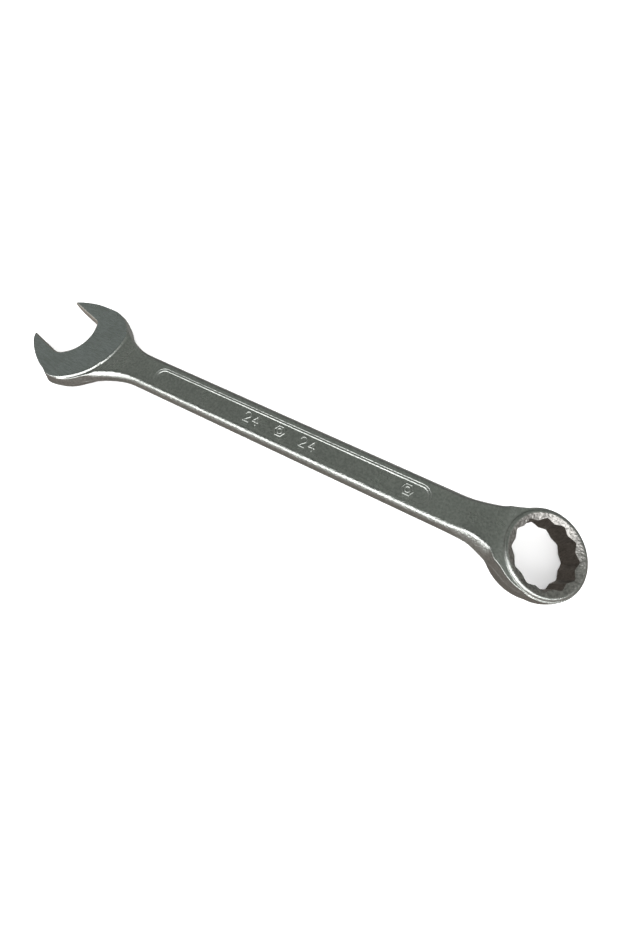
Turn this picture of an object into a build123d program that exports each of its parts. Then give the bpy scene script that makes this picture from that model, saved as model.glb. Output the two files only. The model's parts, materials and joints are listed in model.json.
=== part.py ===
from build123d import *
import os
from math import acos, atan2, cos, degrees, radians, sin, tan

os.makedirs("parts", exist_ok=True)

# A 24 mm combination wrench, drop forged from one bar of steel. The real tool is a single
# piece, so the nodes below are the zones of that forging, named as a toolmaker names them.
# They meet face to face and never overlap.
#
# Frame: millimetres, +Z up. The origin is the centre of the open jaw, halfway through its
# thickness, which is where the nut's centre sits. +X runs along the shank to the ring.

# Driving sizes
across_flats = 24.0        # the nut that both ends fit
centre_distance = 232.0    # jaw centre to ring centre, along X
jaw_angle = 15.0           # the jaw opens this far round from the shank
ring_tilt = 15.0           # the ring's axis leans this far from +Z towards +X

# Open end
head_thickness = 10.4
head_draft = 6.0           # the forged side wall leans in from the parting line
far_radius = 23.4          # round back of the head on the far jaw's side, at the parting line
far_centre = (-3.6, 0)     # its centre, out along the jaw opening and across it
near_radius = 21.4         # round back on the near jaw's side
near_centre = (0.5, -2.5)
jaw_root = -2.0            # the jaws' flanks take over from the round back here
back_end = 155.0           # the round back ends inside the neck, this far round from the opening
jaw_reach = 42.0           # longer than the jaws, for the cut between them

# Each jaw's outline, out along the jaw opening and across it: the flank's middle, the tip's
# shoulder, the middle of the tip's round, and the corner at the jaw face.
far_jaw = ((9.5, 19.4), (17.4, 14.9), (19.6, 13.7), (20.5, 12))
near_jaw = ((9.5, -20.5), (18.0, -16.1), (20.5, -14.4), (21.3, -12))

throat_radius = 16.3
throat_depth = 3.9         # the throat's lowest point behind the nut's centre
throat_offset = 1.2        # and this far towards the far jaw
throat_corner = 1.2
ground_radius = 31.6       # the ground face ends on this arc across the neck
ground_centre = (-9, 7)

neck_top = 4.4             # half thickness of the neck where it leaves the ground face
neck_run = 8.0             # it starts to thin this far inside the ground face's edge
near_blend_start = 41.0    # the near edge starts to flare a little before the far one

# Shank
shank_width = 16.8
shank_thickness = 8.2
shank_flat_width = 12.4    # flat top between the two bevels
shank_edge = 2.0           # height of the upright strip left at the parting line
shank_start = 38.0
shank_end = 200.0
panel_start = 48.0
panel_end = 187.0
panel_width = 8.8
panel_depth = 1.0

# Ring end
ring_drop = 5.0            # ring centre below the shank's middle plane
ring_height = 15.2
ring_radius = 17.9         # widest, at the middle of the ring's height
rim_outer_radius = 16.6
rim_inner_radius = 15.7
rim_inset = 1.0            # the neck meets the ring this far inside the ring's two faces
neck_flare_start = 197.0   # the ring neck's edges start to flare here
neck_flare_radius = 17.9   # and run out on this circle round the ring
lead_in_slope = 26.0       # the conical lead-in, measured from the ring's end face
first_point = 15.0         # the twelve-point hole is turned this far round the ring's axis
point_relief = 0.985       # the points stop just short of a sharp hexagon corner

# Directions worked out from the sizes
jaw_out = Vector(-cos(radians(jaw_angle)), sin(radians(jaw_angle)), 0)
jaw_across = Vector(sin(radians(jaw_angle)), cos(radians(jaw_angle)), 0)
far_head = jaw_out * far_centre[0] + jaw_across * far_centre[1]
near_head = jaw_out * near_centre[0] + jaw_across * near_centre[1]
ring_centre = Vector(centre_distance, 0, -ring_drop)
ring_across = Vector(cos(radians(ring_tilt)), 0, -sin(radians(ring_tilt)))
ring_axis = Vector(sin(radians(ring_tilt)), 0, cos(radians(ring_tilt)))

jaw_plane = Plane(origin=(0, 0, 0), x_dir=jaw_out, z_dir=(0, 0, -1))
ring_plane = Plane(origin=ring_centre, x_dir=ring_across, z_dir=ring_axis)
ring_section_plane = Plane(origin=ring_centre, x_dir=ring_across, z_dir=(0, -1, 0))

half_width = shank_width / 2
half_thickness = shank_thickness / 2
half_flats = across_flats / 2
ground_edge = ground_centre[0] + ground_radius


def blend_arc(start_x, side, centre, radius):
    """Concave arc that leaves the shank's edge at start_x and runs out tangent to a round head.

    side is +1 for the +Y edge and -1 for the -Y edge. Returns the arc's start, middle and end.
    """
    run = start_x - centre.X
    rise = half_width - side * centre.Y
    blend = (run ** 2 + rise ** 2 - radius ** 2) / (2 * (radius - rise))
    middle = Vector(start_x, side * (half_width + blend), 0)
    to_head = centre - Vector(middle.X, middle.Y, 0)
    start_angle = -side * 90
    end_angle = degrees(atan2(to_head.Y, to_head.X))
    if side > 0 and end_angle > 0:
        end_angle -= 360
    if side < 0 and end_angle < 0:
        end_angle += 360
    points = []
    for angle in (start_angle, (start_angle + end_angle) / 2, end_angle):
        points.append(middle + Vector(cos(radians(angle)), sin(radians(angle)), 0) * blend)
    return points


def neck_outline(upper, lower):
    """Plan outline of a neck, from the shank's end to the middle of the head it feeds.

    upper and lower are each the start along X, the head's centre and the head's radius.
    """
    upper_arc = blend_arc(upper[0], 1, upper[1], upper[2])
    lower_arc = blend_arc(lower[0], -1, lower[1], lower[2])
    heel = (upper[1] + lower[1]) / 2
    ThreePointArc(*upper_arc)
    Line(upper_arc[2], heel)
    Line(heel, lower_arc[2])
    ThreePointArc(*lower_arc)
    Line(lower_arc[0], upper_arc[0])


def round_back(centre, radius, side):
    """Arc of the head's back, from the jaw's root to well inside the neck."""
    root_angle = side * degrees(acos((jaw_root - centre[0]) / radius))
    points = []
    for angle in (root_angle, (root_angle + side * back_end) / 2, side * back_end):
        reach = (radius * cos(radians(angle)), radius * sin(radians(angle)))
        points.append((centre[0] + reach[0], centre[1] + reach[1]))
    return points


# Outline of the open head, seen from above: a round back, and two jaws with curved flanks.
far_back = round_back(far_centre, far_radius, 1)
near_back = round_back(near_centre, near_radius, -1)
with BuildSketch(jaw_plane) as head_outline:
    with BuildLine():
        for back, (middle, shoulder, tip, corner) in ((far_back, far_jaw), (near_back, near_jaw)):
            ThreePointArc(*back)
            ThreePointArc(back[0], middle, shoulder)
            ThreePointArc(shoulder, tip, corner)
        Line(far_jaw[3], near_jaw[3])
        Line(far_back[2], near_back[2])
    make_face()

with BuildPart() as open_jaw_head:
    add(head_outline.sketch)
    extrude(amount=head_thickness / 2, taper=head_draft)
    mirror(about=Plane.XY)
    # Only the disc that is milled flat belongs to the head; the neck starts at its edge.
    with BuildSketch(Plane.XY.offset(-head_thickness)) as ground_disc:
        with Locations(ground_centre):
            Circle(ground_radius)
    extrude(amount=2 * head_thickness, mode=Mode.INTERSECT)
    # The jaw opening, with its round throat and small corner radii.
    with BuildSketch(jaw_plane.offset(-head_thickness)) as jaw_gap:
        with BuildLine():
            throat_middle = throat_radius - throat_depth
            far_rise = half_flats - throat_offset
            near_rise = half_flats + throat_offset
            far_corner = throat_middle - (throat_radius ** 2 - far_rise ** 2) ** 0.5
            near_corner = throat_middle - (throat_radius ** 2 - near_rise ** 2) ** 0.5
            ThreePointArc(
                (far_corner, half_flats),
                (-throat_depth, throat_offset),
                (near_corner, -half_flats),
            )
            Line((near_corner, -half_flats), (jaw_reach, -half_flats))
            Line((jaw_reach, -half_flats), (jaw_reach, half_flats))
            Line((jaw_reach, half_flats), (far_corner, half_flats))
        make_face()
        throat_corners = jaw_gap.vertices().sort_by(Axis(Vector(0, 0, 0), jaw_out))[:2]
        fillet(throat_corners, radius=throat_corner)
    extrude(amount=2 * head_thickness, mode=Mode.SUBTRACT)
open_jaw_head.part.label = "open_jaw_head"
export_step(open_jaw_head.part, "parts/open_jaw_head.step")

# The neck behind the open head: the shank's width flares into the head in two round blends.
with BuildPart() as open_neck:
    with BuildSketch(Plane.XY) as open_neck_plan:
        with BuildLine():
            neck_outline(
                (shank_start, far_head, far_radius),
                (near_blend_start, near_head, near_radius),
            )
        make_face()
    extrude(amount=neck_top, taper=head_draft)
    mirror(about=Plane.XY)
    with BuildSketch(Plane.XZ.offset(-far_radius)) as open_neck_side:
        with BuildLine():
            Polyline(
                (0, neck_top),
                (ground_edge - neck_run, neck_top),
                (shank_start, half_thickness),
                (shank_start, -half_thickness),
                (ground_edge - neck_run, -neck_top),
                (0, -neck_top),
                close=True,
            )
        make_face()
    extrude(amount=2 * far_radius, mode=Mode.INTERSECT)
    with BuildSketch(Plane.XY.offset(-head_thickness)) as neck_relief:
        with Locations(ground_centre):
            Circle(ground_radius)
    extrude(amount=2 * head_thickness, mode=Mode.SUBTRACT)
open_neck.part.label = "open_neck"
export_step(open_neck.part, "parts/open_neck.step")

# The shank: a flat-topped bar with bevelled flanks and a shallow panel pressed in each face.
with BuildPart() as shank:
    with BuildSketch(Plane.YZ.offset(shank_start)) as shank_section:
        with BuildLine():
            Polyline(
                (shank_flat_width / 2, half_thickness),
                (half_width, shank_edge / 2),
                (half_width, -shank_edge / 2),
                (shank_flat_width / 2, -half_thickness),
                (-shank_flat_width / 2, -half_thickness),
                (-half_width, -shank_edge / 2),
                (-half_width, shank_edge / 2),
                (-shank_flat_width / 2, half_thickness),
                close=True,
            )
        make_face()
    extrude(amount=shank_end - shank_start)
    for side in (1, -1):
        face = Plane(origin=((panel_start + panel_end) / 2, 0, side * half_thickness), z_dir=(0, 0, side))
        with BuildSketch(face) as panel_mouth:
            SlotOverall(panel_end - panel_start, panel_width)
        with BuildSketch(face.offset(-panel_depth)) as panel_floor:
            SlotOverall(panel_end - panel_start - 2 * panel_depth, panel_width - 2 * panel_depth)
        loft(sections=[panel_mouth.sketch, panel_floor.sketch], mode=Mode.SUBTRACT)
shank.part.label = "shank"
export_step(shank.part, "parts/shank.step")

# The ring's outer body, without its socket, is also the shape that the ring neck stops at.
with BuildPart() as ring_blank:
    with BuildSketch(ring_section_plane) as ring_section:
        with BuildLine():
            Line((0, -ring_height / 2), (rim_outer_radius, -ring_height / 2))
            ThreePointArc(
                (rim_outer_radius, -ring_height / 2),
                (ring_radius, 0),
                (rim_outer_radius, ring_height / 2),
            )
            Line((rim_outer_radius, ring_height / 2), (0, ring_height / 2))
            Line((0, ring_height / 2), (0, -ring_height / 2))
        make_face()
    revolve(axis=Axis(ring_centre, ring_axis))

with BuildPart() as ring_head:
    add(ring_blank.part)
    # Twelve points: two hexagons, the second turned 30 degrees from the first.
    with BuildSketch(ring_plane.offset(-ring_height)) as twelve_points:
        for turn in (first_point, first_point + 30):
            RegularPolygon(half_flats, 6, major_radius=False, rotation=turn)
        Circle(half_flats / cos(radians(30)) * point_relief, mode=Mode.INTERSECT)
    extrude(amount=2 * ring_height, mode=Mode.SUBTRACT)
    lead_in_depth = (rim_inner_radius - half_flats) * tan(radians(lead_in_slope))
    for side in (1, -1):
        mouth = Plane(origin=ring_centre + ring_axis * side * ring_height / 2, x_dir=ring_across,
                      z_dir=ring_axis * side)
        with BuildSketch(mouth) as lead_in_mouth:
            Circle(rim_inner_radius)
        with BuildSketch(mouth.offset(-lead_in_depth)) as lead_in_foot:
            Circle(half_flats)
        loft(sections=[lead_in_mouth.sketch, lead_in_foot.sketch], mode=Mode.SUBTRACT)
ring_head.part.label = "ring_head"
export_step(ring_head.part, "parts/ring_head.step")

# The neck behind the ring: it flares and thickens to meet the tilted ring's near side.
with BuildPart() as ring_neck:
    with BuildSketch(Plane.XY.offset(-ring_height)) as ring_neck_plan:
        with BuildLine():
            flare = (neck_flare_start, Vector(centre_distance, 0, 0), neck_flare_radius)
            neck_outline(flare, flare)
        make_face()
    extrude(amount=2 * ring_height)
    with BuildSketch(Plane.XZ.offset(-far_radius)) as ring_neck_side:
        rise = ring_axis * (ring_height / 2 - rim_inset)
        near_top = ring_centre - ring_across * rim_outer_radius + rise
        near_foot = ring_centre - ring_across * rim_outer_radius - rise
        with BuildLine():
            Polyline(
                (shank_end, half_thickness),
                (near_top.X, near_top.Z),
                (centre_distance, near_top.Z),
                (centre_distance, near_foot.Z),
                (near_foot.X, near_foot.Z),
                (shank_end, -half_thickness),
                close=True,
            )
        make_face()
    extrude(amount=2 * far_radius, mode=Mode.INTERSECT)
    add(ring_blank.part, mode=Mode.SUBTRACT)
    with BuildSketch(ring_plane.offset(-ring_height)) as ring_clearance:
        Circle(rim_outer_radius)
    extrude(amount=2 * ring_height, mode=Mode.SUBTRACT)
ring_neck.part.label = "ring_neck"
export_step(ring_neck.part, "parts/ring_neck.step")
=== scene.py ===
import json
import math

import bmesh
import bpy
import numpy as np
from mathutils import Matrix, Vector


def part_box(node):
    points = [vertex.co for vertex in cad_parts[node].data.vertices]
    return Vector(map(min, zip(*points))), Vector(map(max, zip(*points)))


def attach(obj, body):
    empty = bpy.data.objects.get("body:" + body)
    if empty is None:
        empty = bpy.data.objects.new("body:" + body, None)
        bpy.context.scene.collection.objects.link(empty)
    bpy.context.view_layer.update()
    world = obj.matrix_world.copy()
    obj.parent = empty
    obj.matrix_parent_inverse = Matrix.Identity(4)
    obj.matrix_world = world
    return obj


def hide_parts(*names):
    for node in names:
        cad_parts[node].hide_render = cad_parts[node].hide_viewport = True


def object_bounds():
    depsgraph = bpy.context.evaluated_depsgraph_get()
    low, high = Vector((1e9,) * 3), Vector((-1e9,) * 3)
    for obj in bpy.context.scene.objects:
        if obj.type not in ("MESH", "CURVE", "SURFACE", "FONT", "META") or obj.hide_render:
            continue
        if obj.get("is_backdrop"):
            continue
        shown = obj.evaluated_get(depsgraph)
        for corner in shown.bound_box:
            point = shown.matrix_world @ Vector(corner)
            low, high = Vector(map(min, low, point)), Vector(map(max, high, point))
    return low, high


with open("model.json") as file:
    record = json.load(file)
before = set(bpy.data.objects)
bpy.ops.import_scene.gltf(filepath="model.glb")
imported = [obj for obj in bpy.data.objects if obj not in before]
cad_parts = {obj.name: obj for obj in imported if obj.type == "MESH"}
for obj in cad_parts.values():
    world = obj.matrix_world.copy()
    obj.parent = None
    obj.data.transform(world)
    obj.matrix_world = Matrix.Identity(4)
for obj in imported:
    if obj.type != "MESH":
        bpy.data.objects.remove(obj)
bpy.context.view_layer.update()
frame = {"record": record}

# A 24 mm combination wrench, forged in one piece, on a pale floor.
#
# The forging is described once, as a field of signed distances in millimetres: below zero is
# steel, above zero is air. Each zone of the CAD model is then meshed from that one field, so the
# five pieces join with no visible seam. Lengths in the field are millimetres, in the CAD's axes.

MM = 0.001

# ---------------------------------------------------------------------------
# Sizes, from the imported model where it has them
# ---------------------------------------------------------------------------
mounts = {mount["name"]: mount for mount in frame["record"]["mounts"]}
ring_centre = np.array(mounts["ring_socket"]["pos_m"]) / MM
ring_axis = np.array(mounts["ring_socket"]["axis"])
shank_low, shank_high = [np.array(corner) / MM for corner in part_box("shank")]
head_high = np.array(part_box("open_jaw_head")[1]) / MM

# The open head
FLATS = 24.0
HALF_FLATS = FLATS / 2
JAW_ANGLE = math.radians(15)
HEAD_HALF = head_high[2]
FAR_CENTRE = (-3.6, 0.0)       # round back of the head, out along the jaw and across it
FAR_RADIUS = 23.4
NEAR_CENTRE = (0.5, -2.5)
NEAR_RADIUS = 22.3
JAW_CHAMFER = 0.8              # on the jaw faces' upper edges
JAW_ROOT = -2.0                # the jaws' flanks take over from the round back here
JAW_BLEND = 4.0                # over this much to either side
JAW_DEPTH = 21.4
JAW_TIP_LEAN = math.radians(23)
JAW_EXTRA = (-0.5, 1.4)        # the far jaw is slimmer than the mean shape, the near one fuller
FLANK_RADIUS = 43.2
FLANK_CENTRE = (-7.4, -20.1)
THROAT_RADIUS = 16.3
THROAT_DEPTH = 3.9
THROAT_OFFSET = 1.2            # across the jaw
GROUND_CENTRE = (-9.0, 7.0)    # X and Y of the milled arc's middle
GROUND_RADIUS = 31.6
GROUND_WALL = 0.8              # run over rise of the step round the ground face

# The shank and its two necks
SHANK_START = shank_low[0]
SHANK_END = shank_high[0]
HALF_WIDTH = shank_high[1]
HALF_THICK = shank_high[2]
NECK_HALF = 4.4                # half the thickness beside the head
NECK_TOP = 5.6                 # height over the middle plane beside the ring
NECK_FOOT = 7.2                # and depth under it
EARLY_FLARE = 3.0              # all but the far edge at the head flare this far inside the ends
FAR_FLARE = (0.0, 16.8)        # centre, from the ring's, and radius of the neck's far edge
NEAR_FLARE = (-2.8, 18.6)
DRAFT = 0.105                  # run over rise of the forged side walls
BACK_DRAFT = 0.22              # added at the near side of the head's back
SHANK_DRAFT = 0.2              # added along the shank
FLANK_LEAN = 0.26              # the near wall beside the ring leans in this much more
FLANK_FOOT = 4.0               # from this far below the middle plane
RIDGE_HEIGHT = 0.12            # the parting ridge round the flanks
RIDGE_WIDTH = 0.4
BEVEL_WIDTH = 2.5
BEVEL_ANGLE = math.radians(50)
BEVEL_AT_HEAD = (-2.2, 0.1)    # added to the width beside the head, on the far edge and the near
BEVEL_FLARE = 1.6              # the width beside the ring changes by this times its share
FLARE_SHARE = (-0.3, 1.0)
BEVEL_AT_RING = -3.9           # added against the ring, where the bevel runs out
SHOULDER_WIDTH = 3.8           # a faint slope between the flat and the bevel
SHOULDER_ANGLE = math.radians(9)

# Spans of X over which one form turns into another; one written backward fades out with X
HEAD_RISE = (4, -20)           # these two count from the shank's start
NEAR_HEAD = (8, -14)
RING_RISE = (-1, 17)           # and these five from its end
FLARE_RISE = (-4, 8)
AT_RING = (13, 19)
FLANK_RISE = (10, 21)
SHANK_DRAFT_OUT = (8, -4)
SHANK_DRAFT_IN = (24, 44)      # and the rest from the part's origin
BACK_DRAFT_IN = (-12, 2)
BACK_DRAFT_OUT = (27, 15)
NEAR_BEVEL_IN = (12, 20)
NEAR_SOFT_OUT = (22, 13)

# The pressed panel, in two steps
PANEL_START = 48.0
PANEL_END = 187.0
PANEL_HALF = 4.8
PANEL_DEPTH = 0.6
PANEL_STEP = 0.28              # depth of the ledge inside its edge
PANEL_LEDGE = 0.75
PANEL_WALL = math.radians(45)

# The ring
RING_HALF = 7.6
RING_RADIUS = 17.9
RING_CROWN = (0.9, 3.8)        # the barrel's rounding above and below its middle
RIM_INNER = 15.5
RIM_OUTER = 17.0
RIM_STEP = 1.2                 # the rim stands this high over the shoulder
RIM_WALL = math.radians(50)
RIM_GROOVE = 0.5               # radius of the groove at the rim's foot
GROOVE_SHIFT = 0.1             # its middle is this far out of the corner
BAR_UNDER = 0.15               # the bar ends this far under the ring's shoulder
LOWER_RIM_INNER = 14.1
LEAD_IN = math.radians(26)
POINT_CUT = 0.985              # the socket's points are cut off at this share of their radius
POINT_RADIUS = HALF_FLATS / math.cos(math.radians(30)) * POINT_CUT

# How widely each crease is rounded
TIP_ROUND = 2.0                # the jaws' tips, in plan
THROAT_ROUND = 1.3             # the throat's corners, in plan
JAW_ROUND = 0.9                # where the flanks meet the jaw faces
FACE_ROUND = 0.4               # round the ground faces, the jaw faces and the ring's shoulders
CHAMFER_ROUND = 0.2
BEVEL_ROUND = 0.9              # along the shank
BEVEL_ROUND_LOSS = 0.55        # less beside the head
FLARE_ROUND = (0.3, 1.8)       # more beside the ring, on the far edge and the near
RING_ROUND_LOSS = 0.5          # less against the ring
SHOULDER_ROUND = 0.5
FLAT_ROUND = 0.3
RIM_ROUND = 0.6
GROOVE_ROUND = 0.2
SOCKET_ROUND = 0.25
PANEL_ROUND = 0.15
BAR_END_ROUND = 0.15           # where the bar ends under the ring's shoulder

# The raised marks
MARK_HEIGHT = 4.6
MARK_STROKE = 0.4              # half the width of a stroke
MARK_RISE = 0.4
MARK_WALL = 0.5                # run over rise of a stroke's sides
MARK_ROUND = 0.3
MARK_ROOT = 0.3                # how far the strokes reach into the panel's floor
NUT_HEIGHT = MARK_HEIGHT * 1.1
NUT_HOLE = NUT_HEIGHT / 4.2    # radius of the hole in the nut symbol
panel_floor = HALF_THICK - PANEL_DEPTH

# ---------------------------------------------------------------------------
# The field of signed distances
# ---------------------------------------------------------------------------


def smooth_max(a, b, width):
    """The larger of two distances, with the crease between them rounded over width."""
    overlap = np.maximum(width - np.abs(a - b), 0)
    return np.maximum(a, b) + overlap ** 2 / (4 * width)


def smooth_min(a, b, width):
    """The smaller of two distances, rounded in the same way."""
    return -smooth_max(-a, -b, width)


def ease(start, end, x):
    """0 before start, 1 after end, and a smooth S between them."""
    t = np.clip((x - start) / (end - start), 0, 1)
    return t * t * (3 - 2 * t)


def fade(span, x, origin=0):
    """The same S over a span that counts from origin."""
    return ease(origin + span[0], origin + span[1], x)


def jaw_axes(x, y):
    """Distance out along the jaw opening, and distance across it."""
    out = -x * math.cos(JAW_ANGLE) + y * math.sin(JAW_ANGLE)
    across = x * math.sin(JAW_ANGLE) + y * math.cos(JAW_ANGLE)
    return out, across


def head_back(x, y):
    """Plan of the head's round back: one circle on the far side and a tighter one on the near."""
    out, across = jaw_axes(x, y)
    far = np.hypot(out - FAR_CENTRE[0], across - FAR_CENTRE[1]) - FAR_RADIUS
    near = np.hypot(out - NEAR_CENTRE[0], across - NEAR_CENTRE[1]) - NEAR_RADIUS
    return np.minimum(np.maximum(far, NEAR_CENTRE[1] - across), near)


def head_outline(x, y):
    """Plan of the open head: the round back, and two jaws with curved flanks and round tips."""
    out, across = jaw_axes(x, y)
    extra = np.where(across > 0, *JAW_EXTRA)
    flank = np.hypot(out - FLANK_CENTRE[0], np.abs(across) - FLANK_CENTRE[1]) - FLANK_RADIUS
    flank = flank - extra * ease(-JAW_DEPTH / 2, JAW_DEPTH, out)
    tip = (out - JAW_DEPTH - extra / 2) * math.cos(JAW_TIP_LEAN)
    tip = tip + (np.abs(across) - HALF_FLATS) * math.sin(JAW_TIP_LEAN)
    jaws = smooth_max(flank, tip, TIP_ROUND)
    part = ease(JAW_ROOT - JAW_BLEND, JAW_ROOT + JAW_BLEND, out)
    return head_back(x, y) * (1 - part) + jaws * part


def jaw_gap(x, y):
    """Plan of the opening between the jaws, below zero in the gap."""
    out, across = jaw_axes(x, y)
    middle = THROAT_RADIUS - THROAT_DEPTH
    throat = np.hypot(out - middle, across - THROAT_OFFSET) - THROAT_RADIUS
    return smooth_max(np.abs(across) - HALF_FLATS, np.minimum(throat, middle - out), THROAT_ROUND)


def plan_point(out, across):
    """X and Y of a place given along and across the jaw."""
    x = -out * math.cos(JAW_ANGLE) + across * math.sin(JAW_ANGLE)
    y = out * math.sin(JAW_ANGLE) + across * math.cos(JAW_ANGLE)
    return x, y


def blend_circle(start_x, side, centre, radius):
    """Middle and radius of the hollow edge that leaves the shank at start_x for a round end."""
    run = start_x - centre[0]
    rise = HALF_WIDTH - side * centre[1]
    hollow = (run ** 2 + rise ** 2 - radius ** 2) / (2 * (radius - rise))
    return (start_x, side * (HALF_WIDTH + hollow)), hollow, centre


head_blends = [
    blend_circle(SHANK_START, 1, plan_point(*FAR_CENTRE), FAR_RADIUS),
    blend_circle(SHANK_START + EARLY_FLARE, -1, plan_point(*NEAR_CENTRE), NEAR_RADIUS),
]
ring_blends = []
for side, (shift, radius) in ((1, FAR_FLARE), (-1, NEAR_FLARE)):
    centre = (ring_centre[0] + shift, 0)
    ring_blends.append(blend_circle(SHANK_END - EARLY_FLARE, side, centre, radius))


def flared(x, y, side, plan, blend, round_end):
    """The plan of one edge with its straight line made hollow, then round, toward one end."""
    middle, hollow, centre = blend
    ahead = math.copysign(1, centre[0] - middle[0])
    hollow_edge = hollow - np.hypot(x - middle[0], y - middle[1])
    plan = np.where(ahead * (x - middle[0]) > 0, hollow_edge, plan)
    turn = (middle[0] - centre[0]) * (y - centre[1]) - (middle[1] - centre[1]) * (x - centre[0])
    return np.where(-side * ahead * turn > 0, round_end, plan)


def bar_outline(x, y):
    """Plan of the shank with its two flared necks and the round back of the open head."""
    back = head_outline(x, y)
    edges = []
    flares = (FAR_FLARE, NEAR_FLARE)
    for side, head_blend, ring_blend, flare in zip((1, -1), head_blends, ring_blends, flares):
        barrel = np.hypot(x - ring_centre[0] - flare[0], y) - flare[1]
        edge = flared(x, y, side, side * y - HALF_WIDTH, head_blend, back)
        edges.append(flared(x, y, side, edge, ring_blend, barrel))
    return np.where(y > 0, *edges)


def side_draft(x, y):
    """Run over rise of the forged side wall."""
    back = np.where(y < 0, fade(BACK_DRAFT_OUT, x) * fade(BACK_DRAFT_IN, x), 0)
    along = fade(SHANK_DRAFT_IN, x) * fade(SHANK_DRAFT_OUT, x, SHANK_END)
    return DRAFT + BACK_DRAFT * back + SHANK_DRAFT * along


def bar(x, y, z):
    """The forged bar: bevelled flanks, thinner along the shank than at its two ends."""
    to_head = fade(HEAD_RISE, x, SHANK_START)
    to_ring = fade(RING_RISE, x, SHANK_END)
    near_head = fade(NEAR_HEAD, x, SHANK_START)
    flare = BEVEL_FLARE * fade(FLARE_RISE, x, SHANK_END)
    at_ring = fade(AT_RING, x, SHANK_END)
    far_side = y > 0

    top = HALF_THICK + (NECK_HALF - HALF_THICK) * to_head + (NECK_TOP - HALF_THICK) * to_ring
    foot = HALF_THICK + (NECK_HALF - HALF_THICK) * to_head + (NECK_FOOT - HALF_THICK) * to_ring
    middle = (top - foot) / 2
    half = (top + foot) / 2
    height = np.abs(z - middle)

    plan = bar_outline(x, y)
    draft = side_draft(x, y)
    flank = np.where(y < 0, fade(FLANK_RISE, x, SHANK_END), 0)
    lean = draft * height + FLANK_LEAN * flank * np.maximum(z + FLANK_FOOT, 0)
    ridge = RIDGE_HEIGHT * np.exp(-(z / RIDGE_WIDTH) ** 2)
    side = (plan + lean) / np.sqrt(1 + draft ** 2) - ridge

    width = BEVEL_WIDTH + np.where(far_side, *BEVEL_AT_HEAD) * near_head
    width = width * np.where(far_side, 1, fade(NEAR_BEVEL_IN, x))
    width = width + np.where(far_side, *FLARE_SHARE) * flare + BEVEL_AT_RING * at_ring
    bevel = (plan + width) * math.cos(BEVEL_ANGLE) + (height - half) * math.sin(BEVEL_ANGLE)
    soft = BEVEL_ROUND - BEVEL_ROUND_LOSS * np.where(far_side, near_head, fade(NEAR_SOFT_OUT, x))
    soft = soft + np.where(far_side, *FLARE_ROUND) * flare * (1 - at_ring) - RING_ROUND_LOSS * at_ring
    section = smooth_max(side, bevel, soft)

    outer = (SHOULDER_WIDTH - BEVEL_WIDTH) * (1 - near_head) * (1 - to_ring)
    shoulder = (plan + width + outer) * math.sin(SHOULDER_ANGLE)
    shoulder = shoulder + (height - half) * math.cos(SHOULDER_ANGLE)
    section = smooth_max(section, shoulder, SHOULDER_ROUND)
    return smooth_max(section, height - half, FLAT_ROUND)


def panel(x, y, z):
    """The shallow pressed panel, the same on both faces, below zero where steel is missing."""
    end = (PANEL_END - PANEL_START) / 2 - PANEL_HALF
    along = np.maximum(np.abs(x - (PANEL_START + PANEL_END) / 2) - end, 0)
    slot = np.hypot(along, y) - PANEL_HALF
    depth = HALF_THICK - np.abs(z)
    recess = np.full_like(slot, HALF_THICK)
    for inset, floor_depth in ((0, PANEL_STEP), (PANEL_LEDGE, PANEL_DEPTH)):
        wall = (slot + inset) * math.sin(PANEL_WALL) + depth * math.cos(PANEL_WALL)
        recess = np.minimum(recess, smooth_max(wall, depth - floor_depth, PANEL_ROUND))
    return recess


def ring_axes(x, y, z):
    """Distance from the ring's axis, height along it, and the angle round it."""
    dx = x - ring_centre[0]
    dz = z - ring_centre[2]
    height = dx * ring_axis[0] + dz * ring_axis[2]
    across = dx * ring_axis[2] - dz * ring_axis[0]
    return np.hypot(across, y), height, np.arctan2(y, across)


def star(radius, angle):
    """Section of the twelve-point hole."""
    hole = np.full_like(radius, RING_RADIUS)
    for first_flat in (JAW_ANGLE + math.radians(30), JAW_ANGLE):
        turned = (angle - first_flat + math.pi / 6) % (math.pi / 3) - math.pi / 6
        hole = np.minimum(hole, radius * np.cos(turned) - HALF_FLATS)
    return smooth_max(hole, radius - POINT_RADIUS, SOCKET_ROUND)


def lead_in(radius, height):
    """The cones that widen the hole at the ring's two faces."""
    to_face = RING_HALF - np.abs(height)
    mouth = np.where(height > 0, RIM_INNER, LOWER_RIM_INNER)
    return (radius - mouth) * math.sin(LEAD_IN) + to_face * math.cos(LEAD_IN)


def ring(radius, height):
    """The ring without its socket: a barrel wall, and a narrow rim standing on each shoulder."""
    crown = np.where(height > 0, *RING_CROWN)
    wall = radius - RING_RADIUS + crown * (height / RING_HALF) ** 2
    above = np.abs(height) - RING_HALF + RIM_STEP
    barrel = smooth_max(wall, above, FACE_ROUND)
    slant = (radius - RIM_OUTER) * math.sin(RIM_WALL) + above * math.cos(RIM_WALL)
    slant = np.maximum(slant, radius - RIM_OUTER)
    rim = np.minimum(barrel, smooth_max(slant, np.abs(height) - RING_HALF, RIM_ROUND))
    groove = RIM_GROOVE - np.hypot(radius - RIM_OUTER - GROOVE_SHIFT, above - GROOVE_SHIFT)
    return smooth_max(rim, groove, GROOVE_ROUND)


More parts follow.
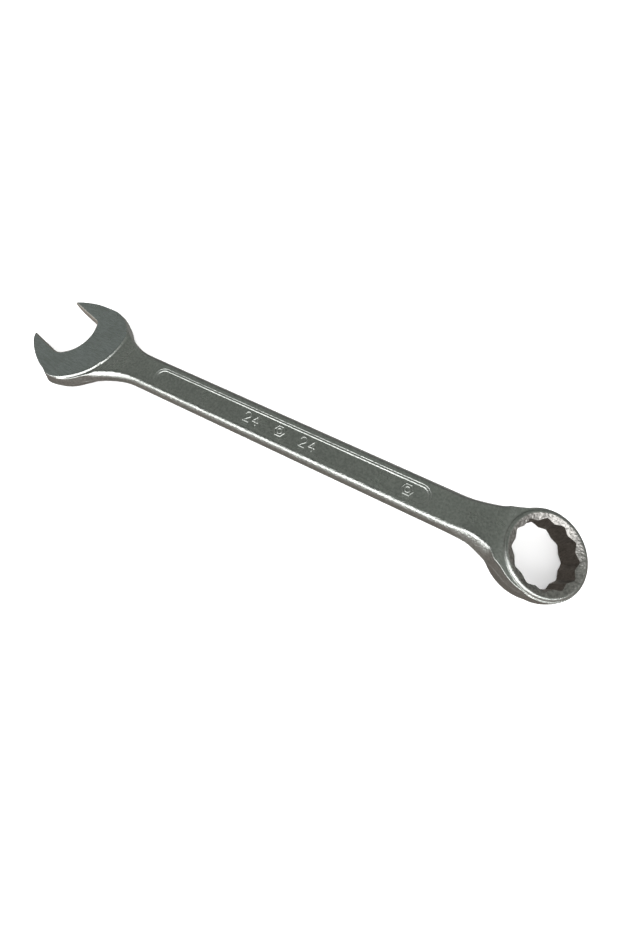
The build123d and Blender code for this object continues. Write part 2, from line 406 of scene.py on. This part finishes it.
def head(x, y, z):
    """The open head inside the milled arc: a drafted wall between two ground faces."""
    draft = side_draft(x, y)
    side = (head_outline(x, y) + draft * np.abs(z)) / np.sqrt(1 + draft ** 2)
    side = smooth_max(side, -jaw_gap(x, y), JAW_ROUND)
    milled = np.hypot(x - GROUND_CENTRE[0], y - GROUND_CENTRE[1]) - GROUND_RADIUS
    milled = milled + GROUND_WALL * (np.abs(z) - HEAD_HALF)
    face = smooth_max(side, np.abs(z) - HEAD_HALF, FACE_ROUND)
    chamfer = (z - HEAD_HALF + JAW_CHAMFER - jaw_gap(x, y)) / math.sqrt(2)
    face = smooth_max(face, chamfer, CHAMFER_ROUND)
    return smooth_max(face, milled / math.hypot(1, GROUND_WALL), FACE_ROUND)


def forging(x, y, z):
    """The whole wrench."""
    radius, height, angle = ring_axes(x, y, z)
    shoulder = height - RING_HALF + RIM_STEP + BAR_UNDER
    shank = smooth_max(bar(x, y, z), shoulder, BAR_END_ROUND)
    steel = np.minimum(shank, ring(radius, height))
    socket = np.minimum(star(radius, angle), lead_in(radius, height))
    steel = smooth_max(steel, -socket, SOCKET_ROUND)
    steel = smooth_min(steel, head(x, y, z), FACE_ROUND)
    steel = smooth_max(steel, -jaw_gap(x, y), FACE_ROUND)
    return smooth_max(steel, -panel(x, y, z), PANEL_ROUND)


# ---------------------------------------------------------------------------
# Meshing the field
# ---------------------------------------------------------------------------
PULLS = 4                      # times each vertex is moved onto the surface
PULL_LIMIT = 0.7               # the most it moves at a time, as a share of the cell
PULL_REACH = 0.02              # the field's slope is taken over this much to each side
LEAST_SLOPE = 0.5              # and is held above this, where creases flatten it
NORMAL_REACH = 0.1             # the same for the shading normals
CAP_CORNERS = 6                # a polygon with more corners is the flat cap of a cut


def slope(field, points, reach):
    """Gradient of the field at each point, by differences over reach."""
    columns = []
    for axis in range(3):
        step = np.zeros(3)
        step[axis] = reach
        ahead = field(*(points + step).T)
        behind = field(*(points - step).T)
        columns.append((ahead - behind) / (2 * reach))
    return np.stack(columns, axis=1)


def surface_net(field, low, high, step):
    """Quads round the field's zero surface: one vertex per crossed cell, pulled onto the surface."""
    low = np.array(low, float)
    step = np.array(step, float)
    axes = [np.arange(low[i], high[i] + step[i], step[i]) for i in range(3)]
    values = field(*np.meshgrid(*axes, indexing="ij"))
    inside = values < 0
    shape = np.array(values.shape) - 1
    corners = np.array([(i, j, k) for i in (0, 1) for j in (0, 1) for k in (0, 1)])
    count = np.zeros(shape, int)
    for i, j, k in corners:
        count += inside[i:i + shape[0], j:j + shape[1], k:k + shape[2]]
    cells = np.argwhere((count > 0) & (count < 8))
    number = np.full(shape, -1)
    number[tuple(cells.T)] = np.arange(len(cells))

    corner_values = np.stack([values[tuple((cells + corner).T)] for corner in corners], axis=1)
    total = np.zeros((len(cells), 3))
    hits = np.zeros(len(cells))
    for a in range(8):
        for b in range(a + 1, 8):
            if np.abs(corners[a] - corners[b]).sum() != 1:
                continue
            first, second = corner_values[:, a], corner_values[:, b]
            crossed = (first < 0) != (second < 0)
            part = np.where(crossed, first / np.where(crossed, first - second, 1), 0)
            point = corners[a] + part[:, None] * (corners[b] - corners[a])
            total += np.where(crossed[:, None], point, 0)
            hits += crossed
    points = low + (cells + total / hits[:, None]) * step

    quads = []
    for axis in range(3):
        ahead = np.take(inside, range(1, inside.shape[axis]), axis)
        behind = np.take(inside, range(inside.shape[axis] - 1), axis)
        edges = np.argwhere(ahead != behind)
        side_a, side_b = (axis + 1) % 3, (axis + 2) % 3
        keep = (edges[:, side_a] > 0) & (edges[:, side_b] > 0)
        keep &= (edges[:, side_a] < shape[side_a]) & (edges[:, side_b] < shape[side_b])
        edges = edges[keep]
        around = []
        for back_a, back_b in ((0, 0), (1, 0), (1, 1), (0, 1)):
            cell = edges.copy()
            cell[:, side_a] -= back_a
            cell[:, side_b] -= back_b
            around.append(number[tuple(cell.T)])
        around = np.stack(around, axis=1)
        leaving = behind[tuple(edges.T)]
        around[~leaving] = around[~leaving][:, ::-1]
        quads.append(around)
    quads = np.concatenate(quads)

    limit = step.min() * PULL_LIMIT
    for _ in range(PULLS):
        gradient = slope(field, points, PULL_REACH)
        size = np.maximum((gradient ** 2).sum(axis=1), LEAST_SLOPE ** 2)
        move = -(field(*points.T) / size)[:, None] * gradient
        length = np.linalg.norm(move, axis=1, keepdims=True)
        points = points + move * np.minimum(1, limit / np.maximum(length, 1e-9))
    return points, quads


def build_piece(name, field, low, high, step, cuts=()):
    """Mesh the field in a box as one closed piece, cut flat at the given X places."""
    points, quads = surface_net(field, low, high, step)
    mesh = bpy.data.meshes.new(name)
    mesh.from_pydata(points.tolist(), [], quads.tolist())
    work = bmesh.new()
    work.from_mesh(mesh)
    for place, direction in cuts:
        parts = work.verts[:] + work.edges[:] + work.faces[:]
        bmesh.ops.bisect_plane(
            work, geom=parts, dist=1e-4, plane_co=(place, 0, 0), plane_no=(direction, 0, 0),
            clear_outer=True,
        )
        rim = [edge for edge in work.edges if edge.is_boundary]
        bmesh.ops.holes_fill(work, edges=rim, sides=0)
    work.normal_update()
    work.to_mesh(mesh)
    work.free()

    places = np.empty(len(mesh.vertices) * 3, np.float32)
    mesh.vertices.foreach_get("co", places)
    places = places.reshape(-1, 3).astype(float)
    normals = slope(field, places, NORMAL_REACH)
    normals /= np.maximum(np.linalg.norm(normals, axis=1, keepdims=True), 1e-9)
    corner_vertex = np.empty(len(mesh.loops), np.int32)
    mesh.loops.foreach_get("vertex_index", corner_vertex)
    corner_normals = normals[corner_vertex]
    for polygon in mesh.polygons:
        if len(polygon.vertices) > CAP_CORNERS:
            span = slice(polygon.loop_start, polygon.loop_start + polygon.loop_total)
            corner_normals[span] = polygon.normal
    mesh.polygons.foreach_set("use_smooth", [True] * len(mesh.polygons))
    mesh.transform(Matrix.Scale(MM, 4))
    mesh.normals_split_custom_set(corner_normals.tolist())

    piece = bpy.data.objects.new(name, mesh)
    bpy.context.scene.collection.objects.link(piece)
    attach(piece, "root")
    return piece


# ---------------------------------------------------------------------------
# The raised marks
# ---------------------------------------------------------------------------


def strokes(x, y, lines):
    """Plan distance to the nearest of some polylines."""
    nearest = np.full_like(x, np.inf)
    for line in lines:
        for (ax, ay), (bx, by) in zip(line, line[1:]):
            length = (bx - ax) ** 2 + (by - ay) ** 2
            part = np.clip(((x - ax) * (bx - ax) + (y - ay) * (by - ay)) / length, 0, 1)
            away = np.hypot(x - ax - part * (bx - ax), y - ay - part * (by - ay))
            nearest = np.minimum(nearest, away)
    return nearest


def arc_line(middle_x, middle_y, radius, first, last, count):
    """Points along an arc, angles in degrees."""
    points = []
    for angle in np.radians(np.linspace(first, last, count)):
        points.append((middle_x + radius * math.cos(angle), middle_y + radius * math.sin(angle)))
    return points


def size_number(left):
    """The numeral 24, which is the wrench's size across flats."""
    low = -MARK_HEIGHT / 2
    width = 0.6 * MARK_HEIGHT
    bowl = width / 2
    two = arc_line(left + bowl, low + MARK_HEIGHT - bowl, bowl, 170, -35, 9)
    two += [(left, low), (left + width, low)]
    start = left + 1.6 * width
    stem = start + 0.75 * width
    bar_y = low + 0.3 * MARK_HEIGHT
    four = [(start + width, bar_y), (start, bar_y), (stem, low + MARK_HEIGHT), (stem, low)]
    return [two, four]


def nut_symbol(middle):
    """A hexagon nut seen from above."""
    hexagon = arc_line(middle, 0, NUT_HEIGHT / 2, 0, 360, 7)
    return [hexagon, arc_line(middle, 0, NUT_HOLE, 0, 360, 13)]


def raised_marks(lines):
    """Field of round-topped strokes standing on the panel floor."""
    def field(x, y, z):
        side = strokes(x, y, lines) - MARK_STROKE + MARK_WALL * (z - panel_floor)
        top = smooth_max(side, z - panel_floor - MARK_RISE, MARK_ROUND)
        return np.maximum(top, panel_floor - MARK_ROOT - z)
    return field


# ---------------------------------------------------------------------------
# The pieces
# ---------------------------------------------------------------------------
FIELD_START = -26.0            # X outside the steel at either end
FIELD_END = 253.0
FIELD_TOP = 9.0                # Z over all the steel
NECK_CUT = 31.0
SHANK_INSET = 8.0              # the shank's piece ends this far inside its CAD node's ends
SHANK_CUT_START = SHANK_START + SHANK_INSET
SHANK_CUT_END = SHANK_END - SHANK_INSET
RING_CUT = 212.0
zones = [
    # name, CAD node, slot, X range, reach to each side and up and down, cell size
    ("open_jaw_forging", "open_jaw_head", "ground_steel",
     (FIELD_START, NECK_CUT), (25, 6.5), (0.27, 0.27, 0.27)),
    ("open_neck_forging", "open_neck", "satin_steel",
     (NECK_CUT, SHANK_CUT_START), (14, 6.5), (0.3, 0.25, 0.25)),
    ("shank_forging", "shank", "satin_steel",
     (SHANK_CUT_START, SHANK_CUT_END), (9.5, 5.5), (0.4, 0.2, 0.2)),
    ("ring_neck_forging", "ring_neck", "satin_steel",
     (SHANK_CUT_END, RING_CUT), (15, 9), (0.25, 0.25, 0.25)),
    ("ring_forging", "ring_head", "satin_steel",
     (RING_CUT, FIELD_END), (20, 18), (0.24, 0.24, 0.24)),
]

body_pieces = []
for name, node, slot_name, (start, end), (reach_y, reach_z), step in zones:
    cuts = []
    if start != FIELD_START:
        cuts.append((start, -1))
    if end != FIELD_END:
        cuts.append((end, 1))
    low = (start - 2 * step[0], -reach_y, -reach_z)
    high = (end + 2 * step[0], reach_y, min(reach_z, FIELD_TOP))
    piece = build_piece(name, forging, low, high, step, cuts)
    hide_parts(node)
    body_pieces.append(piece)

MARK_STEP = (0.12, 0.12, 0.12)
MARK_REACH = 3.2
MARK_BELOW = 0.5               # the box meshed starts this far under the panel's floor
MARK_ABOVE = 0.3               # and ends this far over the marks
mark_sets = [
    # name, strokes, X range
    ("size_marks", size_number(98.5) + nut_symbol(116.5) + size_number(127), (97, 134.5)),
    ("nut_symbol", nut_symbol(177), (174, 180)),
]
mark_pieces = []
for name, lines, (start, end) in mark_sets:
    low = (start, -MARK_REACH, panel_floor - MARK_BELOW)
    high = (end, MARK_REACH, panel_floor + MARK_RISE + MARK_ABOVE)
    piece = build_piece(name, raised_marks(lines), low, high, MARK_STEP)
    mark_pieces.append(piece)

# ---------------------------------------------------------------------------
# Materials
# ---------------------------------------------------------------------------


def feed(tree, value, socket):
    """Link an output to an input, or set the input to a colour or a number."""
    if isinstance(value, bpy.types.NodeSocket):
        tree.links.new(value, socket)
    elif isinstance(value, tuple):
        socket.default_value = (*value, 1)
    else:
        socket.default_value = value


def ranged(tree, value, start, end, new_start=0.0, new_end=1.0):
    """A value carried from one range to another, and held inside it."""
    node = tree.nodes.new("ShaderNodeMapRange")
    node.inputs["From Min"].default_value = start
    node.inputs["From Max"].default_value = end
    node.inputs["To Min"].default_value = new_start
    node.inputs["To Max"].default_value = new_end
    tree.links.new(value, node.inputs["Value"])
    return node.outputs["Result"]


def mixed(tree, part, first, second):
    """A colour between two, where part 0 gives the first."""
    node = tree.nodes.new("ShaderNodeMix")
    node.data_type = "RGBA"
    for value, socket in ((part, node.inputs[0]), (first, node.inputs[6]), (second, node.inputs[7])):
        feed(tree, value, socket)
    return node.outputs[2]


def noise(tree, place, size, detail, stretch=(1, 1, 1)):
    """Noise of a size in millimetres, stretched along each axis."""
    mapping = tree.nodes.new("ShaderNodeMapping")
    mapping.inputs["Scale"].default_value = [1 / (size * MM * along) for along in stretch]
    texture = tree.nodes.new("ShaderNodeTexNoise")
    texture.inputs["Scale"].default_value = 1.0
    texture.inputs["Detail"].default_value = detail
    tree.links.new(place.outputs["Object"], mapping.inputs["Vector"])
    tree.links.new(mapping.outputs["Vector"], texture.inputs["Vector"])
    return texture.outputs["Fac"]


def bumped(tree, height, depth, below=None):
    """A normal bumped by a height of a depth in millimetres, on top of another normal."""
    node = tree.nodes.new("ShaderNodeBump")
    node.inputs["Distance"].default_value = depth * MM
    tree.links.new(height, node.inputs["Height"])
    if below is not None:
        tree.links.new(below, node.inputs["Normal"])
    return node.outputs["Normal"]


CLOUD_SIZE = 9.0               # patches of colour and of roughness
CLOUD_EDGES = (0.35, 0.65)     # in colour
CLOUD_ROUGH_EDGES = (0.3, 0.7)
CLOUD_ROUGH = (1.2, 0.85)      # the roughness is times this in dark and in light patches
SPECKLE_SIZE = 1.3             # of the colour's fine speckle, times the grain's
SPECKLE_EDGES = (0.38, 0.62)
FINE_SHARE = 0.6               # how much of the colour follows the speckle, not the patches
WEAR_AND_HIGHLIGHT_SIZE = 3.0                # edges are worn, and given a painted highlight, unevenly in patches of this size
WEAR_AND_HIGHLIGHT_EDGES = (0.4, 0.6)
LEAST_WEAR_AND_HIGHLIGHT = 0.25
EDGE_POINTINESS = (0.515, 0.56)
EDGE_WEAR_AND_HIGHLIGHT = 0.5                # the most of the bright colour, wear and painted highlight, that an edge gets
WEAR_AND_HIGHLIGHT_BRIGHT = 1.35             # worn edges, with their painted highlight, are this many times brighter


def steel_material(name, colour, dark, roughness, grain, lumps, stretch):
    """Metal with mottled colour, uneven roughness, fine grain, soft lumps and brighter edges, worn
    and with a painted highlight.

    grain and lumps are (size, depth) in millimetres; stretch draws the grain out along each axis.
    """
    material = bpy.data.materials.new(name)
    material.use_nodes = True
    tree = material.node_tree
    shader = tree.nodes["Principled BSDF"]
    shader.inputs["Metallic"].default_value = 1.0
    place = tree.nodes.new("ShaderNodeTexCoord")

    grain_height = noise(tree, place, grain[0], 3.0, stretch)
    lump_height = noise(tree, place, lumps[0], 2.0)
    clouds = noise(tree, place, CLOUD_SIZE, 5.0)
    speckle = ranged(tree, noise(tree, place, grain[0] * SPECKLE_SIZE, 3.0, stretch), *SPECKLE_EDGES)
    wear_and_highlight_patches = ranged(tree, noise(tree, place, WEAR_AND_HIGHLIGHT_SIZE, 4.0), *WEAR_AND_HIGHLIGHT_EDGES, LEAST_WEAR_AND_HIGHLIGHT, 1.0)

    # convex edges are painted brighter: partly real wear, partly a painted highlight where the edges
    # catch the light
    edge = tree.nodes.new("ShaderNodeNewGeometry")
    edge_part = ranged(tree, edge.outputs["Pointiness"], *EDGE_POINTINESS, 0.0, EDGE_WEAR_AND_HIGHLIGHT)
    edge_wear_and_highlight = tree.nodes.new("ShaderNodeMath")
    edge_wear_and_highlight.operation = "MULTIPLY"
    tree.links.new(edge_part, edge_wear_and_highlight.inputs[0])
    tree.links.new(wear_and_highlight_patches, edge_wear_and_highlight.inputs[1])

    mottled = mixed(tree, ranged(tree, clouds, *CLOUD_EDGES), dark, colour)
    fine = mixed(tree, speckle, dark, colour)
    base = mixed(tree, FINE_SHARE, mottled, fine)
    wear_and_highlight_colour = tuple(min(1.0, WEAR_AND_HIGHLIGHT_BRIGHT * part) for part in colour)
    tree.links.new(mixed(tree, edge_wear_and_highlight.outputs[0], base, wear_and_highlight_colour), shader.inputs["Base Color"])
    spread = [roughness * share for share in CLOUD_ROUGH]
    tree.links.new(ranged(tree, clouds, *CLOUD_ROUGH_EDGES, *spread), shader.inputs["Roughness"])
    lumpy = bumped(tree, lump_height, lumps[1])
    tree.links.new(bumped(tree, grain_height, grain[1], lumpy), shader.inputs["Normal"])
    return material


FINISHES = [
    # name, colour, dark patches, roughness, grain, lumps, stretch of the grain
    ("satin_chrome", (0.58, 0.59, 0.57), (0.40, 0.42, 0.40),
     0.3, (0.8, 0.16), (4, 0.15), (1, 1, 1)),
    ("ground_chrome", (0.57, 0.60, 0.62), (0.42, 0.45, 0.44),
     0.27, (0.7, 0.08), (7, 0.06), (3, 0.7, 1)),
    ("machined_jaw", (0.85, 0.82, 0.76), (0.45, 0.43, 0.39),
     0.36, (0.6, 0.1), (4, 0.05), (0.6, 0.6, 4)),
    ("turned_lead_in", (0.62, 0.60, 0.58), (0.28, 0.27, 0.26),
     0.4, (0.9, 0.4), (3, 0.2), (1, 1, 1)),
    # the socket's dark colour is painted shade inside the hole; its grain stretched along the axis is
    # the broach lines
    ("broached_socket_painted_shade", (0.26, 0.25, 0.23), (0.12, 0.115, 0.10),
     0.38, (0.6, 0.08), (4, 0.05), (0.6, 0.6, 8)),
]
SATIN, GROUND, MACHINED, LEAD_IN_CONE, SOCKET = range(len(FINISHES))
finishes = [steel_material(*finish) for finish in FINISHES]

SKIN = 0.15                    # a face this near a surface belongs to it
FLAT_SKIN = 0.2                # the same for the ground faces
FLAT_TURN = 0.9                # whose normals have at least this much Z
MILLED_SKIN = 0.1              # and they reach this far past the milled arc
RIM_FACE = 0.08                # the hole's finishes stop this far inside the ring's faces
CONE_EDGE = 0.05               # and the socket's this far outside the cones


def face_kinds(points, normals):
    """Which finish each face has."""
    x, y, z = points.T
    kinds = np.full(len(points), SATIN)
    milled = np.hypot(x - GROUND_CENTRE[0], y - GROUND_CENTRE[1]) - GROUND_RADIUS
    flat = (np.abs(z) > HEAD_HALF - FLAT_SKIN) & (np.abs(normals[:, 2]) > FLAT_TURN)
    kinds[flat & (milled < MILLED_SKIN)] = GROUND
    jaw = (np.abs(jaw_gap(x, y)) < JAW_CHAMFER) & (x < SHANK_START)
    kinds[jaw & (kinds == SATIN)] = MACHINED
    radius, height, angle = ring_axes(x, y, z)
    inner = (radius < RIM_INNER) & (np.abs(height) < RING_HALF - RIM_FACE)
    cone = lead_in(radius, height)
    kinds[inner & (np.abs(cone) < SKIN)] = LEAD_IN_CONE
    # the socket's walls get the finish darkened with painted shade
    kinds[inner & (np.abs(star(radius, angle)) < SKIN) & (cone > CONE_EDGE)] = SOCKET
    return kinds


for piece in body_pieces + mark_pieces:
    piece.data.materials.clear()
    for material in finishes:
        piece.data.materials.append(material)

for piece in body_pieces:
    polygons = piece.data.polygons
    centres = np.empty(len(polygons) * 3)
    polygons.foreach_get("center", centres)
    facing = np.empty(len(polygons) * 3)
    polygons.foreach_get("normal", facing)
    kinds = face_kinds(centres.reshape(-1, 3) / MM, facing.reshape(-1, 3))
    polygons.foreach_set("material_index", kinds.astype(np.int32))

# ---------------------------------------------------------------------------
# Floor, lights and camera
# ---------------------------------------------------------------------------
FLOOR_HALF = 3.0               # metres, like all that follows
FLOOR_RUN = 0.268              # the wrench lies on its open head and on its ring's lower rim,
FLOOR_DROP = 0.0109            # so under the part's frame the floor falls by this over the run
FLOOR_GAP = 0.0011             # and lies this far under the head at the part's origin

floor_mesh = bpy.data.meshes.new("floor")
floor_corners = []
for side_x, side_y in ((-1, -1), (1, -1), (1, 1), (-1, 1)):
    floor_corners.append((side_x * FLOOR_HALF, side_y * FLOOR_HALF, 0))
floor_mesh.from_pydata(floor_corners, [], [(0, 1, 2, 3)])
floor = bpy.data.objects.new("floor", floor_mesh)
bpy.context.scene.collection.objects.link(floor)
floor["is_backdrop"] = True
floor_tilt = math.atan2(FLOOR_DROP, FLOOR_RUN)
floor.rotation_euler = (0, floor_tilt, 0)
floor.location = (0, 0, -HEAD_HALF * MM - FLOOR_GAP)
floor_material = bpy.data.materials.new("pale_floor")
floor_material.use_nodes = True
floor_shader = floor_material.node_tree.nodes["Principled BSDF"]
floor_shader.inputs["Base Color"].default_value = (0.88, 0.88, 0.88, 1)
floor_shader.inputs["Roughness"].default_value = 0.6
floor_mesh.materials.append(floor_material)
# In place of this white floor the steel mirrors the brown table of the world below.
floor.visible_glossy = False


def soft_light(name, place, target, size, power):
    """A rectangular light that faces the target."""
    data = bpy.data.lights.new(name, "AREA")
    data.shape = "RECTANGLE"
    data.size, data.size_y = size
    data.energy = power
    light = bpy.data.objects.new(name, data)
    bpy.context.scene.collection.objects.link(light)
    light.location = place
    light.rotation_euler = (Vector(target) - Vector(place)).to_track_quat("-Z", "Y").to_euler()
    return light


soft_light("front_softbox", place=(0.35, -0.95, 0.80), target=(0.12, 0, 0), size=(3.2, 1.0), power=28)

FLOOR_LIGHT = 2.2              # strength of the even white light
# The room the steel mirrors: colours from straight below (0) to straight above (1)
NEAR_ROOM = (
    (0.0, (0.2, 0.175, 0.16)),
    (0.46, (0.3, 0.27, 0.25)),
    (0.54, (0.36, 0.36, 0.34)),
    (0.75, (0.26, 0.275, 0.255)),
    (1.0, (0.23, 0.25, 0.225)),
)
FAR_ROOM = (
    (0.0, (0.33, 0.33, 0.315)),
    (0.24, (0.33, 0.33, 0.315)),
    (0.34, (0.13, 0.13, 0.125)),
    (0.56, (0.13, 0.135, 0.13)),
    (0.7, (0.26, 0.275, 0.255)),
    (1.0, (0.23, 0.25, 0.225)),
)
FAR_EDGES = (0.45, 0.7)        # Y of a direction where the near room turns into the far one
PATCH = (-0.3, -0.12, 0.95)    # direction of a dark patch overhead
PATCH_EDGES = (21, 11)         # degrees from its middle where it starts and where it's darkest
PATCH_LIGHT = 0.05             # light left in its middle


def colour_ramp(tree, stops):
    """A ramp through (position, colour) stops."""
    ramp = tree.nodes.new("ShaderNodeValToRGB")
    ends = ramp.color_ramp.elements
    for end, (position, colour) in zip((ends[0], ends[1]), (stops[0], stops[-1])):
        end.position = position
        end.color = (*colour, 1)
    for position, colour in stops[1:-1]:
        ends.new(position).color = (*colour, 1)
    return ramp


def studio_world():
    """Even white light on the floor; polished steel mirrors a dim room above a brown table."""
    world = bpy.data.worlds.new("studio")
    world.use_nodes = True
    tree = world.node_tree
    tree.nodes.clear()
    output = tree.nodes.new("ShaderNodeOutputWorld")
    mix = tree.nodes.new("ShaderNodeMixShader")
    path = tree.nodes.new("ShaderNodeLightPath")
    even = tree.nodes.new("ShaderNodeBackground")
    even.inputs["Color"].default_value = (1.0, 1.0, 1.0, 1)
    even.inputs["Strength"].default_value = FLOOR_LIGHT
    room = tree.nodes.new("ShaderNodeBackground")
    place = tree.nodes.new("ShaderNodeTexCoord")
    split = tree.nodes.new("ShaderNodeSeparateXYZ")
    tree.links.new(place.outputs["Generated"], split.inputs[0])
    height = ranged(tree, split.outputs["Z"], -1, 1)
    sides = []
    for stops in (NEAR_ROOM, FAR_ROOM):
        ramp = colour_ramp(tree, stops)
        tree.links.new(height, ramp.inputs["Fac"])
        sides.append(ramp.outputs["Color"])
    to_far = ranged(tree, split.outputs["Y"], *FAR_EDGES)
    tree.links.new(mixed(tree, to_far, *sides), room.inputs["Color"])
    shade = tree.nodes.new("ShaderNodeVectorMath")
    shade.operation = "DOT_PRODUCT"
    shade.inputs[1].default_value = Vector(PATCH).normalized()
    tree.links.new(place.outputs["Generated"], shade.inputs[0])
    edges = [math.cos(math.radians(edge)) for edge in PATCH_EDGES]
    shaded = ranged(tree, shade.outputs["Value"], *edges, 1.0, PATCH_LIGHT)
    tree.links.new(shaded, room.inputs["Strength"])
    tree.links.new(path.outputs["Is Glossy Ray"], mix.inputs["Fac"])
    tree.links.new(even.outputs[0], mix.inputs[1])
    tree.links.new(room.outputs[0], mix.inputs[2])
    tree.links.new(mix.outputs[0], output.inputs["Surface"])
    # Sampled as a light, the even white would reach the steel as well as the floor.
    world.cycles.sampling_method = "NONE"
    bpy.context.scene.world = world


studio_world()
bpy.context.scene.view_settings.view_transform = "Standard"

# The photo's camera, as fitted: its place, and the directions to its right, down and ahead
CAMERA_PLACE = (0.19299, -0.06381, 0.23776)
CAMERA_RIGHT = (0.8843, 0.454607, -0.10652)
CAMERA_DOWN = (0.352621, -0.799756, -0.485848)
CAMERA_AHEAD = (-0.306059, 0.392074, -0.867528)
camera_data = bpy.data.cameras.new("camera")
camera_data.lens = 21.965
camera_data.sensor_width = 36
camera_data.shift_y = -0.124
camera_data.clip_start = 0.01
camera = bpy.data.objects.new("camera", camera_data)
bpy.context.scene.collection.objects.link(camera)
turn = Matrix((Vector(CAMERA_RIGHT), -Vector(CAMERA_DOWN), -Vector(CAMERA_AHEAD))).transposed()
camera.matrix_world = Matrix.Translation(CAMERA_PLACE) @ turn.to_4x4()
bpy.context.scene.camera = camera

low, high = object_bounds()
